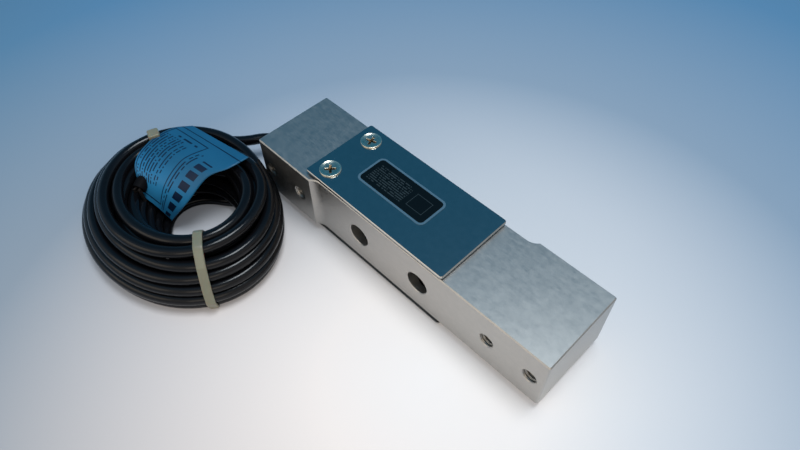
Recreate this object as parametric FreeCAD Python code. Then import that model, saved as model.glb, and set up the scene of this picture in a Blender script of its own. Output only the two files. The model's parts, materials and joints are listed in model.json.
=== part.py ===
"""Single point load cell: a bar machined from one aluminium block, with two side covers, and its cable.

Frame, in millimetres: +X along the bar from the cable end to the free end, +Y from the front face
to the back face, +Z up. The bar lies on one side, so the covers are its top and its underside and
the mounting holes run along Y. The origin is under the middle of the bar, on the surface that the
lower cover's screw heads stand on.
"""
import FreeCAD, Part
import math
import os

V = FreeCAD.Vector
X, Y, Z = V(1, 0, 0), V(0, 1, 0), V(0, 0, 1)

# ---- bar ------------------------------------------------------------------------------------
BAR_L = 150.0            # length along X
BAR_H = 28.0             # height along Z, between the two covered sides
WAIST_D = 35.6           # depth along Y between the two recessed faces
PAD_RISE = 2.2           # how far a mounting pad stands proud of its recessed face
PAD_L = 33.0             # length of a mounting pad
STEP_R = 6.0             # concave radius that runs from the recessed face up to the pad
CORNER_R = 0.9           # rounding of the four upright corners
EDGE_BREAK = 0.45        # chamfer round the top and the underside

# ---- mounting holes, M6, tapped right through the bar ------------------------------------------
M6_R = 3.0
M6_END = 6.0             # first hole from the end of the bar
M6_PITCH = 19.0
M6_SINK = 0.35           # countersink at each mouth

# ---- measuring section: two outer arms and a middle beam ---------------------------------------
FLEX_X = 16.0            # thin places, each side of the middle
ARM_WEB = 3.3            # outer arm at its thinnest
BEAM_T = 5.0             # middle beam at its thinnest
SLOT_W = 8.0             # slot between the two lobes of a cavity
CAVITY_R = 0.8           # corners at the ends of the middle beam
BORE_R = 5.0             # access bore in each outer arm, in line with a gauge
BORE_BREAK = 0.3

# ---- covers, gaskets, screws, label --------------------------------------------------------------
COVER_L = 73.8
COVER_W = 36.0
COVER_T = 1.0
COVER_X0 = -45.9         # fixed end of the cover
COVER_R = 1.2
COVER_BREAK = 0.25
GASKET_T = 1.2
GASKET_INSET = 0.4       # from the cover's edge
GASKET_RIM = 1.9         # width of the rim along the arms
SCREW_X = -38.6
SCREW_Y = 11.1           # each side of the middle
SCREW_R = 2.0            # M4
SCREW_L = 10.0           # under the head
SCREW_FIT = 0.05         # shank to tapped hole
SCREW_HOLE_CLEAR = 0.25  # shank to cover and gasket
SCREW_HOLE_SPARE = 1.0   # tapped depth past the tip
HEAD_R = 4.5
HEAD_H = 1.5
HEAD_RIM = 0.5           # upright part of the head, under the dome
CROSS_L = 4.8            # cross recess
CROSS_W = 1.0
CROSS_DEPTH = 1.1
LABEL_L = 35.8
LABEL_W = 15.2
LABEL_T = 0.12
LABEL_R = 2.6
LABEL_C = (-10.7, 0.75)  # centre of the label, X and Y

# ---- wiring pocket, board and gauges ---------------------------------------------------------------
POCKET_X0 = -33.0
POCKET_X1 = -20.5
POCKET_W = 16.0
POCKET_H = 10.5
BOARD_CLEAR = 0.5        # board's edge to the pocket's wall
BOARD_LIFT = 0.3         # adhesive under the board
BOARD_T = 1.0
SEAL_T = 5.0             # depth of sealant over the board
RESISTOR = (3.2, 1.6, 0.6)
GAUGE_L, GAUGE_H, GAUGE_T = 8.0, 5.0, 0.1
COAT_MARGIN = 1.0        # coating past the gauge
COAT_T = 0.9
LEAD_R = 0.25            # gauge leads
CORE_R = 0.5             # cable cores

# ---- cable ---------------------------------------------------------------------------------------
CABLE_R = 2.4
CABLE_FIT = 0.2          # jacket to bore
CABLE_Z = 6.5            # bore above the bar's underside
GROMMET_R = 3.9          # in its counterbore
GROMMET_DEPTH = 5.0
GROMMET_FLANGE_R = 4.8
GROMMET_FLANGE_T = 1.6
# route of the free stretch, from the end face to the coil (X, Y, height above the surface)
LEAD_ROUTE = [(-81.8, 0.0, 10.2), (-88.6, -2.2, 10.4), (-94.0, -7.2, 10.8), (-97.2, -12.8, 10.7),
              (-101.8, -17.4, 10.2), (-108.2, -21.5, 9.4), (-114.2, -26.0, 8.6)]

# ---- coil: oval layers (height, centre X, centre Y, half length, half width) -----------------------
COIL_OUTER = [(1.5, -86.6, -59.0, 49.6, 36.8), (4.5, -86.4, -59.0, 52.0, 39.3),
              (11.0, -85.2, -58.2, 50.3, 38.6), (18.0, -82.8, -56.4, 45.2, 36.2),
              (26.5, -79.8, -54.8, 39.0, 33.2), (29.6, -79.6, -54.8, 35.6, 29.8)]
COIL_INNER = [(1.5, -79.7, -58.2, 24.6, 17.4), (15.0, -77.7, -56.6, 24.0, 19.0),
              (29.6, -76.2, -54.8, 27.4, 22.6)]
COIL_CLEAR = 2.6         # free space kept in front of the mounting pad beside the coil
TIE_W = 3.7
TIE_T = 1.1
FRONT_TIE_ANGLE = -17.0  # seen from above, from +X
REAR_TIE_ANGLE = 160.0
TIE_HEAD = (5.2, 5.0, 4.2)
TIE_HEAD_AT = 26.5       # head from the middle of the coil

# ---- tag: lines across the folded strip, one end of each line and then the other ---------------------
TAG_T = 0.25
TAG_LINES = [((-103.8, -34.0, 29.6), (-71.0, -28.3, 29.6)),
             ((-108.8, -42.2, 29.6), (-71.5, -37.6, 29.6)),
             ((-105.8, -52.8, 30.4), (-76.2, -46.0, 27.0)),
             ((-99.5, -62.8, 29.4), (-79.1, -55.7, 18.5)),
             ((-92.1, -63.7, 20.5), (-84.0, -60.5, 8.5))]

# ---- free end of the cable, inside the coil ------------------------------------------------------------
END_SLEEVE_R = 2.8
END_SLEEVE_L = 9.0
END_AT = (-96.2, -67.6, 21.6)      # cut end of the jacket
END_DIR = (0.45, -0.85, -0.25)     # the way the jacket points there
END_CORES = 4
END_CORE_L = 9.0

# ---- worked out --------------------------------------------------------------------------------------
HALF_L = BAR_L / 2
HALF_D = WAIST_D / 2
PAD_Y = HALF_D + PAD_RISE
STANDOFF = GASKET_T + COVER_T
BAR_Z0 = STANDOFF + HEAD_H
BAR_Z1 = BAR_Z0 + BAR_H
BAR_ZM = (BAR_Z0 + BAR_Z1) / 2
LOBE_R = (HALF_D - ARM_WEB - BEAM_T / 2) / 2
LOBE_Y = BEAM_T / 2 + LOBE_R
CABLE_ZC = BAR_Z0 + CABLE_Z
COVER_X1 = COVER_X0 + COVER_L
FACE_Y = BEAM_T / 2      # gauged faces of the middle beam


def box(x0, x1, y0, y1, z0, z1):
    """Block between two corners."""
    return Part.makeBox(x1 - x0, y1 - y0, z1 - z0, V(x0, y0, z0))


def rod(start, direction, radius, length):
    """Cylinder from a point along a direction."""
    return Part.makeCylinder(radius, length, V(*start), direction)


def fuse_all(shapes):
    """One solid from shapes that overlap."""
    return shapes[0].multiFuse(shapes[1:]).removeSplitter() if len(shapes) > 1 else shapes[0]


def group(shapes):
    """Separate solids kept in one file."""
    return Part.makeCompound(shapes)


def plate(cx, cy, length, width, corner, z0, thickness):
    """Flat plate with rounded corners, centred on cx, cy."""
    body = box(cx - length / 2, cx + length / 2, cy - width / 2, cy + width / 2, z0, z0 + thickness)
    return body.makeFillet(corner, [e for e in body.Edges if abs(e.tangentAt(e.FirstParameter).z) > 0.9])


def rim_edges(shape, z):
    """Edges that lie in the level plane z."""
    return [e for e in shape.Edges if abs(e.BoundBox.ZMin - z) < 1e-4 and abs(e.BoundBox.ZMax - z) < 1e-4]


def screw_places():
    """Cover screws: X, Y and which side, +1 for the top and -1 for the underside."""
    return [(SCREW_X, sy * SCREW_Y, side) for side in (1, -1) for sy in (1, -1)]


def side_z(side, out=0.0):
    """Level a distance out of the bar's top (+1) or underside (-1)."""
    return BAR_Z1 + out if side > 0 else BAR_Z0 - out


# ---- bar ---------------------------------------------------------------------------------------------
def bar_outline():
    """Plan of the bar: pads at opposite corners, each stepped down through a concave radius."""
    run = math.sqrt(STEP_R ** 2 - (STEP_R - PAD_RISE) ** 2)
    x_edge = -HALF_L + PAD_L
    x_flat = x_edge + run
    half = math.asin(run / STEP_R) / 2
    mid = V(x_flat - STEP_R * math.sin(half), -HALF_D - STEP_R + STEP_R * math.cos(half), 0)
    turn = lambda p: V(-p.x, -p.y, 0)
    front = [V(-HALF_L, -PAD_Y, 0), V(x_edge, -PAD_Y, 0), mid, V(x_flat, -HALF_D, 0), V(HALF_L, -HALF_D, 0)]
    edges = []
    for p in (front, [turn(q) for q in front]):
        edges += [Part.LineSegment(p[0], p[1]).toShape(), Part.Arc(p[1], p[2], p[3]).toShape(),
                  Part.LineSegment(p[3], p[4]).toShape(), Part.LineSegment(p[4], turn(p[0])).toShape()]
    return Part.Wire(edges)


def cavity(side):
    """Cavity between the middle beam and an outer arm, through the bar: two round lobes against the
    arm, a slot between them, and a flat wall along the middle beam."""
    z0, z1 = BAR_Z0 - 1, BAR_Z1 + 1
    reach = FLEX_X + LOBE_R
    lobes = [rod((sx * FLEX_X, side * LOBE_Y, z0), Z, LOBE_R, z1 - z0) for sx in (-1, 1)]
    a, b, c = (side * v for v in (FACE_Y, LOBE_Y, LOBE_Y + SLOT_W / 2))
    flat = box(-reach, reach, min(a, b), max(a, b), z0, z1)
    flat = flat.makeFillet(CAVITY_R, [e for e in flat.Edges if e.BoundBox.ZLength > 1
                                      and abs(e.CenterOfMass.y - a) < 1e-4])
    slot = box(-FLEX_X, FLEX_X, min(b, c) - 0.5, max(b, c), z0, z1) if side > 0 else \
        box(-FLEX_X, FLEX_X, min(b, c), max(b, c) + 0.5, z0, z1)
    return fuse_all(lobes + [flat, slot])


def mount_holes():
    """M6 holes through the bar, two at each end, with a countersink at both mouths."""
    cuts = []
    for end in (-1, 1):
        for x in (end * (HALF_L - M6_END), end * (HALF_L - M6_END - M6_PITCH)):
            front, back = (-PAD_Y, HALF_D) if end < 0 else (-HALF_D, PAD_Y)
            cuts.append(rod((x, front - 1, BAR_ZM), Y, M6_R, back - front + 2))
            for y, into in ((front, Y), (back, -Y)):
                cuts.append(Part.makeCone(M6_R + M6_SINK, M6_R, M6_SINK, V(x, y, BAR_ZM), into))
    return cuts


def access_bores():
    """Plain bores through the outer arms, in line with the gauges."""
    cuts = []
    for sx in (-1, 1):
        for sy in (-1, 1):
            at = V(sx * FLEX_X, sy * HALF_D, BAR_ZM)
            cuts.append(rod(tuple(at + V(0, sy, 0)), V(0, -sy, 0), BORE_R, HALF_D - LOBE_Y + 1))
            cuts.append(Part.makeCone(BORE_R + BORE_BREAK, BORE_R, BORE_BREAK, at, V(0, -sy, 0)))
    return cuts


def beam_body():
    """The machined bar."""
    bar = Part.Face(bar_outline()).extrude(V(0, 0, BAR_H))
    bar.translate(V(0, 0, BAR_Z0))
    upright = [e for e in bar.Edges if e.BoundBox.ZLength > 1 and abs(abs(e.CenterOfMass.x) - HALF_L) < 1e-4]
    bar = bar.makeFillet(CORNER_R, upright)
    bar = bar.makeChamfer(EDGE_BREAK, rim_edges(bar, BAR_Z0) + rim_edges(bar, BAR_Z1))
    cuts = [cavity(-1), cavity(1)] + mount_holes() + access_bores()
    depth = SCREW_L - STANDOFF + SCREW_HOLE_SPARE
    for x, y, side in screw_places():
        cuts.append(rod((x, y, side_z(side, 1)), V(0, 0, -side), SCREW_R, depth + 1))
    cuts.append(box(POCKET_X0, POCKET_X1, -POCKET_W / 2, POCKET_W / 2, BAR_Z0 - 1, BAR_Z0 + POCKET_H))
    cuts.append(rod((-HALF_L - 1, 0, CABLE_ZC), X, CABLE_R + CABLE_FIT, POCKET_X0 + HALF_L + 2))
    cuts.append(rod((-HALF_L - 1, 0, CABLE_ZC), X, GROMMET_R, GROMMET_DEPTH + 1))
    return bar.cut(cuts)


# ---- covers ------------------------------------------------------------------------------------------
def cover(side):
    """Flat cover, fixed by two screws at its left end; its outer rim has a broken edge."""
    near, far = side_z(side, GASKET_T), side_z(side, STANDOFF)
    body = plate(COVER_X0 + COVER_L / 2, 0, COVER_L, COVER_W, COVER_R, min(near, far), COVER_T)
    body = body.makeChamfer(COVER_BREAK, rim_edges(body, far))
    holes = [rod((x, y, min(near, far) - 1), Z, SCREW_R + SCREW_HOLE_CLEAR, COVER_T + 2)
             for x, y, s in screw_places() if s == side]
    return body.cut(holes)


def gasket(side):
    """Sealing sheet under a cover, with a window over the cavities."""
    z0 = min(side_z(side), side_z(side, GASKET_T))
    body = plate(COVER_X0 + COVER_L / 2, 0, COVER_L - 2 * GASKET_INSET, COVER_W - 2 * GASKET_INSET,
                 COVER_R, z0, GASKET_T)
    half_w = COVER_W / 2 - GASKET_INSET - GASKET_RIM
    window = box(POCKET_X0 - 1, FLEX_X + LOBE_R + 1, -half_w, half_w, z0 - 1, z0 + GASKET_T + 1)
    holes = [rod((x, y, z0 - 1), Z, SCREW_R + SCREW_HOLE_CLEAR, GASKET_T + 2)
             for x, y, s in screw_places() if s == side]
    return body.cut([window] + holes)


def pan_screw():
    """Pan head screw, head up, seated on the level z = 0."""
    rise = HEAD_H - HEAD_RIM
    crown = HEAD_R * 0.45
    dome = Part.Arc(V(HEAD_R, 0, HEAD_RIM), V(HEAD_R * 0.83, 0, HEAD_RIM + rise * 0.7), V(crown, 0, HEAD_H))
    pts = [V(0, 0, HEAD_H), V(0, 0, -SCREW_L), V(SCREW_R - SCREW_FIT - 0.5, 0, -SCREW_L),
           V(SCREW_R - SCREW_FIT, 0, -SCREW_L + 0.5), V(SCREW_R - SCREW_FIT, 0, 0), V(HEAD_R, 0, 0),
           V(HEAD_R, 0, HEAD_RIM)]
    edges = [Part.LineSegment(a, b).toShape() for a, b in zip(pts, pts[1:])]
    edges += [dome.toShape(), Part.LineSegment(V(crown, 0, HEAD_H), V(0, 0, HEAD_H)).toShape()]
    body = Part.Face(Part.Wire(edges)).revolve(V(0, 0, 0), Z, 360)
    arm = box(-CROSS_L / 2, CROSS_L / 2, -CROSS_W / 2, CROSS_W / 2, HEAD_H - CROSS_DEPTH, HEAD_H + 1)
    arms = [arm, arm.rotated(V(0, 0, 0), Z, 90)]
    taper = Part.makeCone(CROSS_W * 0.6, CROSS_L / 2 + 0.4, CROSS_DEPTH + 0.6, V(0, 0, HEAD_H - CROSS_DEPTH), Z)
    return body.cut(fuse_all(arms).common(taper))


def cover_screws():
    """The four cover screws, each turned a little differently, as they were tightened."""
    out = []
    for i, (x, y, side) in enumerate(screw_places()):
        screw = pan_screw().rotated(V(0, 0, 0), Z, 18 + 31 * i)
        if side < 0:
            screw = screw.rotated(V(0, 0, 0), X, 180)
        out.append(screw.translated(V(x, y, side_z(side, STANDOFF))))
    return group(out)


def rating_label():
    """Film label on the upper cover."""
    return plate(LABEL_C[0], LABEL_C[1], LABEL_L, LABEL_W, LABEL_R, side_z(1, STANDOFF), LABEL_T)


# ---- wiring ------------------------------------------------------------------------------------------
def gauge_places():
    """Each gauge: X of its middle and the side of the middle beam that it is on."""
    return [(sx * FLEX_X, sy) for sx in (-1, 1) for sy in (-1, 1)]


def on_face(x, side, length, height, t0, t1):
    """Block on a gauged face, from t0 to t1 out of it."""
    a, b = sorted((side * (FACE_Y + t0), side * (FACE_Y + t1)))
    return box(x - length / 2, x + length / 2, a, b, BAR_ZM - height / 2, BAR_ZM + height / 2)


def strain_gauges():
    """Foil gauges on the middle beam."""
    return group([on_face(x, s, GAUGE_L, GAUGE_H, 0, GAUGE_T) for x, s in gauge_places()])


def tube_through(points, radius):
    """Round wire through points, straight between them, with mitred bends."""
    pts = [V(*p) for p in points]
    path = Part.Wire([Part.LineSegment(a, b).toShape() for a, b in zip(pts, pts[1:])])
    ring = Part.Wire(Part.makeCircle(radius, pts[0], pts[1] - pts[0]))
    return path.makePipeShell([ring], True, False, 1)


def lead_paths():
    """Gauge leads, from the edge of each gauge's coating to the board, through the pocket's mouth."""
    z_board = board_top()
    out_y = FACE_Y + COAT_T + LEAD_R
    low = BAR_ZM - GAUGE_H / 2 - COAT_MARGIN
    paths = []
    for x, s in gauge_places():
        if x < 0:
            paths.append([(x, s * (FACE_Y + COAT_T / 2), low), (x - 1.5, s * (out_y + 1.5), low - 4),
                          (POCKET_X1 - 1.0, s * (POCKET_W / 2 - 2.2), BAR_Z0 + 3.5),
                          (POCKET_X1 - 4.0, s * (POCKET_W / 2 - 2.4), z_board)])
        else:
            paths.append([(x, s * (FACE_Y + COAT_T / 2), low), (x - 3.0, s * (LOBE_Y - 2.0), low - 5),
                          (-FLEX_X, s * (LOBE_Y - 1.3), BAR_Z0 + 2.4),
                          (POCKET_X1 - 1.5, s * (POCKET_W / 2 - 1.2), BAR_Z0 + 2.6),
                          (POCKET_X1 - 6.0, s * (POCKET_W / 2 - 1.4), z_board)])
    return paths


def board_top():
    """Level of the board's wired face, which looks down out of the pocket."""
    return BAR_Z0 + POCKET_H - BOARD_LIFT - BOARD_T


def board_span():
    """X of the board's two ends."""
    return POCKET_X0 + BOARD_CLEAR + 1.0, POCKET_X1 - BOARD_CLEAR


def gauge_leads():
    """Four twisted lead pairs, one from each gauge."""
    return group([tube_through(p, LEAD_R).cut(bridge_board()) for p in lead_paths()])


def gauge_coatings():
    """Protective coating over each gauge, moulded round the gauge and its lead."""
    leads = gauge_leads()
    gauges = strain_gauges()
    blocks = [on_face(x, s, GAUGE_L + 2 * COAT_MARGIN, GAUGE_H + 2 * COAT_MARGIN, 0, COAT_T)
              for x, s in gauge_places()]
    return group([b.cut([gauges, leads]) for b in blocks])


def bridge_board():
    """Board that joins the gauges and the cable."""
    x0, x1 = board_span()
    half = POCKET_W / 2 - BOARD_CLEAR
    return box(x0, x1, -half, half, board_top(), board_top() + BOARD_T)


def board_adhesive():
    """Layer that holds the board to the pocket's floor."""
    x0, x1 = board_span()
    half = POCKET_W / 2 - BOARD_CLEAR
    return box(x0 + 0.5, x1 - 0.5, -half + 0.5, half - 0.5, board_top() + BOARD_T, BAR_Z0 + POCKET_H)


def trim_resistors():
    """Compensation resistors in a row on the board."""
    length, width, height = RESISTOR
    x0, x1 = board_span()
    xm = (x0 + x1) / 2 + 1.0
    top = board_top()
    return group([box(xm - length / 2, xm + length / 2, y - width / 2, y + width / 2, top - height, top)
                  for y in (-2.6, 0.0, 2.6)])


def cable_cores():
    """The cores, from the cut jacket at the pocket's wall to the edge of the board."""
    x0 = board_span()[0]
    cores = []
    for i in range(4):
        y = (i - 1.5) * 1.25
        start = (POCKET_X0, y, CABLE_ZC)
        cores.append(tube_through([start, (POCKET_X0 + 1.2, y * 1.3, CABLE_ZC),
                                   (x0 + 1.6, y * 2.0, board_top())], CORE_R)
                     .cut([bridge_board(), cable_inner()]))
    return group(cores)


def board_sealant():
    """Sealant poured over the board, round everything on it."""
    z1 = board_top()
    block = box(POCKET_X0, POCKET_X1, -POCKET_W / 2, POCKET_W / 2, z1 - SEAL_T, z1)
    held = [bridge_board(), trim_resistors(), cable_cores(), gauge_leads(), cavity(-1), cavity(1)]
    return block.cut(held)


# ---- cable -------------------------------------------------------------------------------------------
def cable_inner():
    """Jacketed cable inside the bar, from the pocket to the end face."""
    return rod((POCKET_X0, 0, CABLE_ZC), -X, CABLE_R, POCKET_X0 + HALF_L)


def cable_grommet():
    """Sealing grommet in the end face: a sleeve in its counterbore and a rounded flange outside."""
    sleeve = rod((-HALF_L + GROMMET_DEPTH, 0, CABLE_ZC), -X, GROMMET_R - 0.05, GROMMET_DEPTH)
    flange = rod((-HALF_L, 0, CABLE_ZC), -X, GROMMET_FLANGE_R, GROMMET_FLANGE_T)
    rim = [e for e in flange.Edges if abs(e.BoundBox.XMin + HALF_L + GROMMET_FLANGE_T) < 1e-4
           and e.BoundBox.XLength < 1e-4]
    flange = flange.makeFillet(GROMMET_FLANGE_T * 0.5, rim)
    return fuse_all([sleeve, flange]).cut(rod((0, 0, CABLE_ZC), -X, CABLE_R, BAR_L))


def route_wire(points):
    """Straight runs joined by tangent arcs, each as large as its two runs allow, and their radii."""
    pts = [V(*p) for p in points]
    edges, radii, start = [], [], pts[0]
    for a, b, c in zip(pts, pts[1:], pts[2:]):
        u, w = (b - a), (c - b)
        turn = u.getAngle(w)
        reach = 0.45 * min(u.Length, w.Length)
        radii.append(reach / math.tan(turn / 2))
        u.normalize()
        w.normalize()
        p, q = b - u * reach, b + w * reach
        inward = (w - u).normalize()
        mid = b + inward * (radii[-1] * (1 / math.cos(turn / 2) - 1))
        edges += [Part.LineSegment(start, p).toShape(), Part.Arc(p, mid, q).toShape()]
        start = q
    edges.append(Part.LineSegment(start, pts[-1]).toShape())
    return Part.Wire(edges), radii


def lead_points():
    """Route of the free stretch, from the end face, through the grommet's flange."""
    return [(-HALF_L, 0, CABLE_ZC)] + LEAD_ROUTE


def cable_lead():
    """Free stretch of cable between the grommet and the coil."""
    wire, radii = route_wire(lead_points())
    first = wire.Edges[0]
    ring = Part.Wire(Part.makeCircle(CABLE_R, first.Vertexes[0].Point, first.tangentAt(first.FirstParameter)))
    tube = wire.makePipeShell([ring], True, False, 1)
    print("cable lead: length %.1f, radii %s, volume over section times length %.4f" % (
        wire.Length, " ".join("%.1f" % r for r in radii), tube.Volume / (math.pi * CABLE_R ** 2 * wire.Length)))
    return tube


def oval(level, cx, cy, half_l, half_w):
    """Level oval wire."""
    return Part.Wire(Part.Ellipse(V(cx, cy, level), half_l, half_w).toShape())


def coil_form(grow):
    """Outer shape of the coiled cable, grown by a distance."""
    def stack(layers, sign):
        rings = []
        for i, (z, cx, cy, a, b) in enumerate(layers):
            dz = -grow if i == 0 else grow if i == len(layers) - 1 else 0
            over = sign < 0 and dz
            rings.append(oval(z + dz + (math.copysign(1, dz) if over else 0), cx, cy,
                              a + sign * grow, b + sign * grow))
        return Part.makeLoft(rings, True, True)
    return stack(COIL_OUTER, 1).cut(stack(COIL_INNER, -1))


def cable_coil():
    """The coil, clear of the pad beside it, less the places where the free stretch and the cable's
    end run into it."""
    pad_room = box(-HALF_L - 1, -HALF_L + PAD_L, -PAD_Y - COIL_CLEAR, 0, BAR_Z0 - 1, BAR_Z1 + 1)
    return coil_form(0).cut([pad_room, cable_lead(), cable_end(), end_cores()])


def strap(angle):
    """Closed strap round the coil at an angle seen from above."""
    cx, cy = COIL_OUTER[2][1], COIL_OUTER[2][2]
    reach = max(layer[3] for layer in COIL_OUTER) + 10
    slab = box(0, reach, -TIE_W / 2, TIE_W / 2, -5, BAR_Z1 + 10)
    slab = slab.rotated(V(0, 0, 0), Z, angle).translated(V(cx, cy, 0))
    return slab.common(coil_form(TIE_T).cut(coil_form(0)))


def front_tie():
    """Tie at the front of the coil, its head out of sight under the coil's inner wall."""
    return strap(FRONT_TIE_ANGLE)


def rear_tie():
    """Tie at the rear of the coil, with its square head on top."""
    length, width, height = TIE_HEAD
    top = COIL_OUTER[-1]
    a = math.radians(REAR_TIE_ANGLE)
    head = box(-length / 2, length / 2, -width / 2, width / 2, 0, height)
    head = head.makeFillet(0.5, [e for e in head.Edges if e.BoundBox.ZLength > 1])
    head = head.rotated(V(0, 0, 0), Z, REAR_TIE_ANGLE)
    head.translate(V(COIL_OUTER[2][1] + TIE_HEAD_AT * math.cos(a),
                     COIL_OUTER[2][2] + TIE_HEAD_AT * math.sin(a), top[0] + TIE_T / 2))
    return fuse_all([strap(REAR_TIE_ANGLE), head])


def tag():
    """Film tag laid over the coil and under the rear tie, its free end down in the middle of the coil."""
    sections = []
    for i, (a, b) in enumerate(TAG_LINES):
        a, b = V(*a), V(*b)
        before = V(*TAG_LINES[max(i - 1, 0)][0])
        after = V(*TAG_LINES[min(i + 1, len(TAG_LINES) - 1)][0])
        lift = (after - before).cross(b - a).normalize() * TAG_T
        if lift.z < 0:
            lift = -lift
        sections.append(Part.makePolygon([a, b, b + lift, a + lift, a]))
    return Part.makeLoft(sections, True, True).cut(strap(REAR_TIE_ANGLE))


def cable_end():
    """Sleeve shrunk over the cut end of the jacket."""
    d = V(*END_DIR).normalize()
    return rod(tuple(V(*END_AT) - d * END_SLEEVE_L), d, END_SLEEVE_R, END_SLEEVE_L)


def end_cores():
    """Cores that leave the cut end and hang down."""
    d = V(*END_DIR).normalize()
    side = d.cross(Z).normalize()
    up = side.cross(d)
    cores = []
    for i in range(END_CORES):
        a = 2 * math.pi * (i + 0.5) / END_CORES
        off = side * math.cos(a) * 1.3 + up * math.sin(a) * 1.1
        start = V(*END_AT) + off
        knee = start + d * 1.2 + off * 0.3
        cores.append(tube_through([tuple(start), tuple(knee), tuple(knee + off * 0.5 - Z * (END_CORE_L - i))],
                                  CORE_R).cut(cable_end()))
    return group(cores)


PARTS = {
    "beam_body": beam_body,
    "upper_cover": lambda: cover(1),
    "lower_cover": lambda: cover(-1),
    "upper_gasket": lambda: gasket(1),
    "lower_gasket": lambda: gasket(-1),
    "cover_screws": cover_screws,
    "rating_label": rating_label,
    "strain_gauges": strain_gauges,
    "gauge_coatings": gauge_coatings,
    "gauge_leads": gauge_leads,
    "bridge_board": bridge_board,
    "board_adhesive": board_adhesive,
    "trim_resistors": trim_resistors,
    "board_sealant": board_sealant,
    "cable_cores": cable_cores,
    "cable_inner": cable_inner,
    "cable_grommet": cable_grommet,
    "cable_lead": cable_lead,
    "cable_coil": cable_coil,
    "front_tie": front_tie,
    "rear_tie": rear_tie,
    "tag": tag,
    "cable_end_sleeve": cable_end,
    "cable_end_cores": end_cores,
}


def main():
    """Write one STEP file for each part."""
    os.makedirs("parts", exist_ok=True)
    for name, make in PARTS.items():
        shape = make()
        if not shape.isValid():
            raise RuntimeError("%s is not valid" % name)
        shape.exportStep("parts/%s.step" % name)
        box_ = shape.BoundBox
        print("%-18s solids %d volume %.1f box %.1f %.1f %.1f to %.1f %.1f %.1f" % (
            name, len(shape.Solids), shape.Volume, box_.XMin, box_.YMin, box_.ZMin,
            box_.XMax, box_.YMax, box_.ZMax))


main()
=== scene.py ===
"""Single point load cell: finishes of its pieces, coiled cable, ties, tag, threads, prints and stage.

Lengths are metres in the frame of the packed model: +X along the bar, +Z up, the surface at z = 0.
"""
import json
import math

import bpy
import numpy as np
from mathutils import Matrix, Vector

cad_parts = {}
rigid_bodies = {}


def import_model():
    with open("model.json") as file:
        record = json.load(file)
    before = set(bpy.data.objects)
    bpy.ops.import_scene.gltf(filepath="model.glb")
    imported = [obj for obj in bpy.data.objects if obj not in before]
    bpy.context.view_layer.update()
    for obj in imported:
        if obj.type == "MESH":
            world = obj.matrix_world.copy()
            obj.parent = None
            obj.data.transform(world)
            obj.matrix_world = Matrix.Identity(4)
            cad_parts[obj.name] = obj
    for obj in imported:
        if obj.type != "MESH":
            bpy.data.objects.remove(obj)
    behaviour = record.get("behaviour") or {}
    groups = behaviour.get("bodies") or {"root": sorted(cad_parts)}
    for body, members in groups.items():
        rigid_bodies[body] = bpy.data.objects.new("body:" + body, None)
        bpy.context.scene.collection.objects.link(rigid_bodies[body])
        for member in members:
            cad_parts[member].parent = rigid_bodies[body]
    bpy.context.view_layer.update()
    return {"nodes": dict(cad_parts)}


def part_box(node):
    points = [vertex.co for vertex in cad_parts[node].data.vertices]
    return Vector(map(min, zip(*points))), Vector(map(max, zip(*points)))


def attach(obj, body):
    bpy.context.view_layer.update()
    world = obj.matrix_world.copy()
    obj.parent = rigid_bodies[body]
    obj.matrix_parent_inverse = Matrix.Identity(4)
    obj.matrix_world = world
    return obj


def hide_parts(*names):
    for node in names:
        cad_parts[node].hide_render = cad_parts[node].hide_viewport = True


bl_info = {
    "name": "Single point load cell",
    "version": (1, 0, 0),
    "blender": (4, 5, 0),
    "location": "View3D > Sidebar > Load cell",
    "description": "Builds the finished load cell with its coiled cable",
    "category": "Add Mesh",
}

for old in list(bpy.data.objects):
    bpy.data.objects.remove(old)
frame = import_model()
NODES = frame["nodes"]
MM = 0.001
TAU = 2 * math.pi

# route of the free stretch of cable, from the end face to the coil, in millimetres
LEAD_ROUTE = [(-75.0, 0.0, 10.2), (-81.8, 0.0, 10.2), (-88.6, -2.2, 10.4), (-94.0, -7.2, 10.8),
              (-97.2, -12.8, 10.7), (-101.8, -17.4, 10.2), (-108.2, -21.5, 9.4), (-114.2, -26.0, 8.6)]
# turns of the coil in the order they were laid, in millimetres: X at the left and at the right, Y at
# the front and at the rear, height at the left and at the right
TURNS = [(-131.8, -36.8, -95.4, -21.9, 7.1, 7.1), (-131.4, -38.2, -94.8, -23.0, 2.6, 2.6),
         (-126.4, -42.6, -90.0, -27.8, 2.6, 2.6), (-121.4, -47.0, -85.0, -32.6, 2.6, 2.6),
         (-92.8, -51.6, -71.8, -38.4, 2.7, 2.7), (-95.8, -51.4, -73.2, -37.0, 6.4, 7.4),
         (-98.7, -52.6, -74.8, -36.6, 10.4, 12.0), (-121.8, -46.2, -85.8, -31.6, 7.2, 7.3),
         (-126.8, -41.5, -90.6, -26.8, 7.1, 7.1), (-123.8, -42.6, -88.8, -27.0, 11.6, 11.7),
         (-128.8, -37.6, -93.6, -22.2, 11.5, 11.6), (-124.8, -39.4, -91.4, -21.6, 16.0, 16.2),
         (-119.8, -44.2, -86.0, -27.2, 16.2, 16.6), (-101.4, -53.3, -76.0, -35.4, 14.4, 16.7),
         (-104.2, -52.8, -77.0, -33.8, 18.2, 21.4), (-107.3, -47.8, -81.6, -29.8, 22.0, 21.3),
         (-120.4, -41.0, -87.2, -24.4, 20.4, 20.6), (-115.4, -46.0, -86.0, -24.6, 25.2, 25.0),
         (-110.5, -50.6, -79.6, -31.8, 24.4, 25.4), (-105.4, -55.6, -75.0, -36.8, 24.4, 24.8)]
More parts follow.
